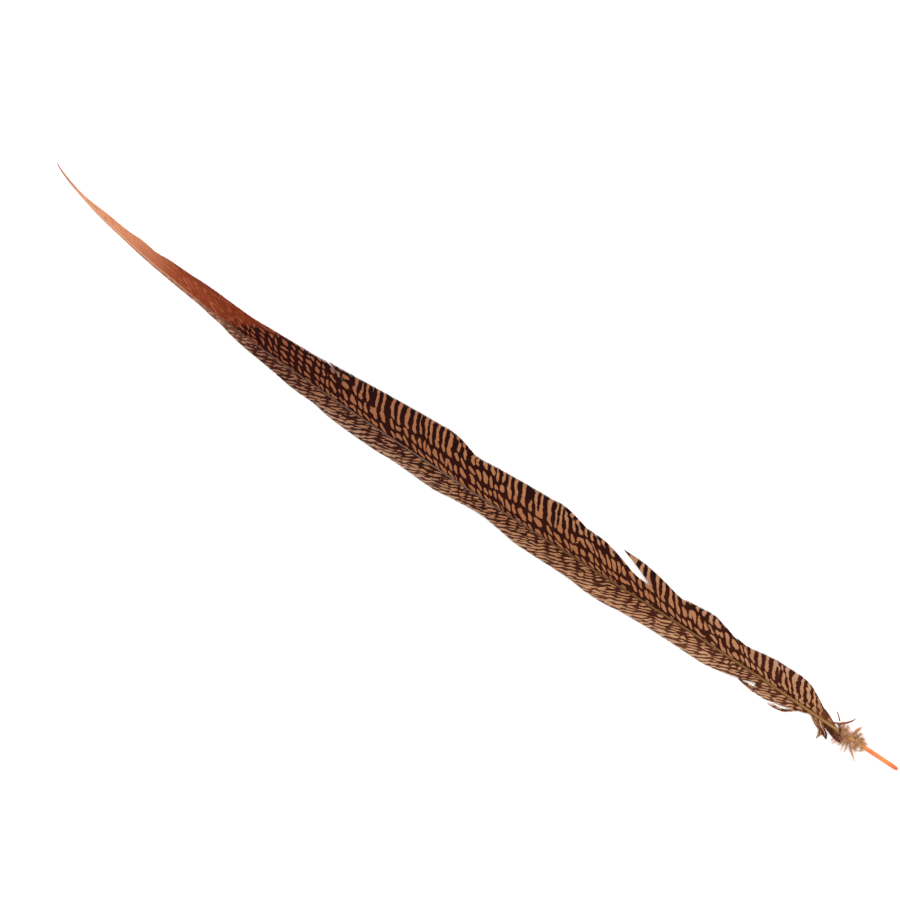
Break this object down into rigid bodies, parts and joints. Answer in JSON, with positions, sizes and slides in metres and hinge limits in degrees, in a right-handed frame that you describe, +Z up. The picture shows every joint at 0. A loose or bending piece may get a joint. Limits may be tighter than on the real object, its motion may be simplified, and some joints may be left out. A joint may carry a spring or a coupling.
{
  "type": "pheasant tail feather",
  "caption": "Long tapering tail feather with a wide and a narrow barred vane, a plain rust tip, tufts of down and a bare quill, lying flat with its upper side up.",
  "frame": {"origin": "On the surface that the feather lies on, under the middle of its bounding box.", "axes": "+X from the tip of the feather to the end of its quill, +Y towards the wide vane, +Z up, out of the feather's upper side."},
  "size_m": [0.6576, 0.043, 0.0065],
  "materials": {
    "quill": "satin",
    "rust_vane": "matte",
    "barred_vane": "matte",
    "brown_barbs": "matte",
    "down": "matte"
  },
  "bodies": {
    "root": {"shaft": "quill", "wide_vane_tip": "rust_vane", "wide_vane_middle": "barred_vane", "wide_vane_base": "barred_vane", "narrow_vane_main": "barred_vane", "narrow_vane_base": "barred_vane", "short_loose_strand": "barred_vane", "hooked_loose_strand": "barred_vane", "curled_barbs": "barred_vane", "brown_base_barbs": "brown_barbs", "long_stray_barb": "brown_barbs", "short_stray_barb": "brown_barbs", "wide_side_down": "down", "narrow_side_down": "down"}
  },
  "joints": []
}
